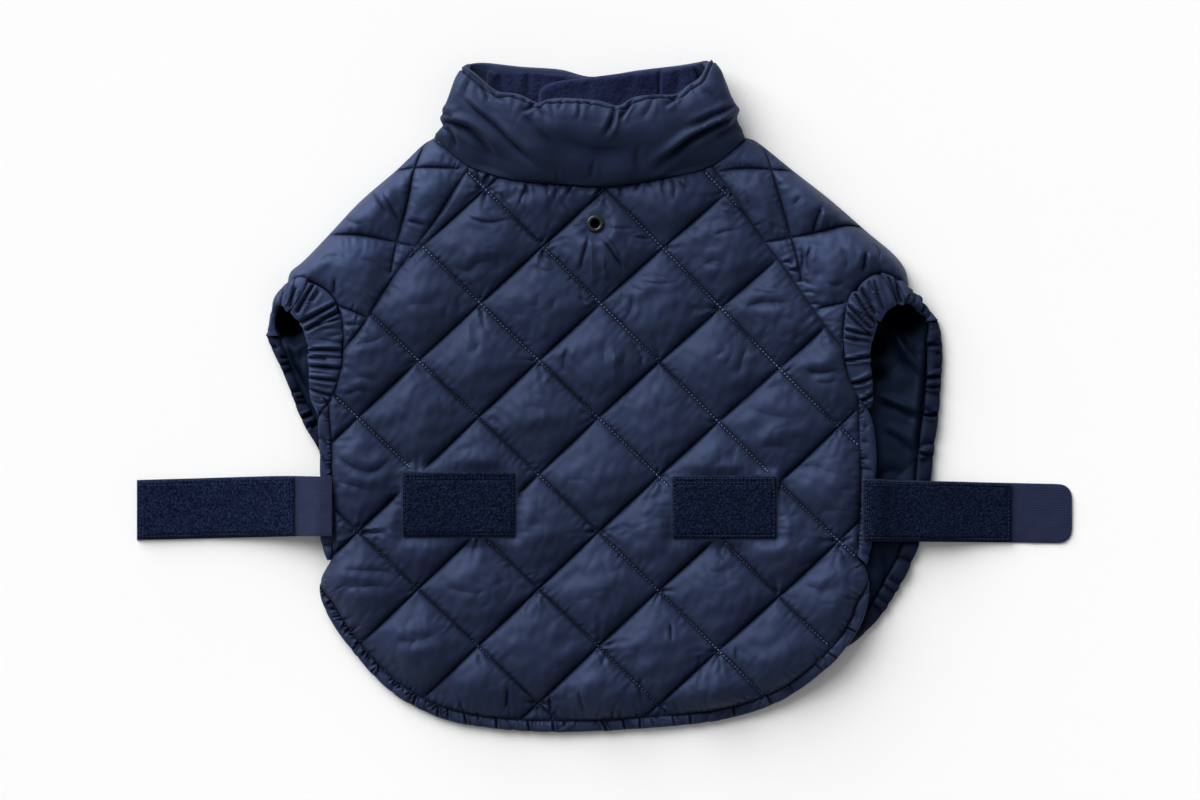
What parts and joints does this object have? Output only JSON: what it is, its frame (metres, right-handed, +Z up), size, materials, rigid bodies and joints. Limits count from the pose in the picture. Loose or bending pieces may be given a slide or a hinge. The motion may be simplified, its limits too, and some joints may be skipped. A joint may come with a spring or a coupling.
{
  "type": "dog winter coat",
  "caption": "Quilted sleeveless winter coat for a small dog, laid flat, with a stand-up fleece-lined collar, gathered leg cuffs and touch-tape belly straps.",
  "frame": {"origin": "centre of the coat's outline on the surface that it lies on", "axes": "+X to the coat's right as seen from above, +Y from the hem to the collar, +Z up from the surface"},
  "size_m": [0.5798, 0.4164, 0.0328],
  "materials": {
    "shell": "navy polyester taffeta with a soft sheen, quilted over padding",
    "lining": "smooth dark navy lining",
    "fleece": "matt navy fleece with a short nap",
    "touch_tape": "fuzzy navy loop tape",
    "webbing": "navy woven tape with a fine rib",
    "eyelet_metal": "black satin eyelet"
  },
  "bodies": {
    "root": {"back_panel": "shell", "belly_panel": "lining", "belly_band_left": "shell", "belly_band_right": "shell", "hem_band": "shell", "shoulder_left": "shell", "shoulder_right": "shell", "cuff_left": "shell", "cuff_right": "shell", "side_band_left": "shell", "side_band_right": "shell", "collar": "shell", "collar_lining": "fleece", "collar_flap": "fleece", "strap_left": "webbing", "strap_right": "webbing", "strap_patch_left": "touch_tape", "strap_patch_right": "touch_tape", "pad_left": "touch_tape", "pad_right": "touch_tape", "eyelet": "eyelet_metal"}
  },
  "joints": []
}
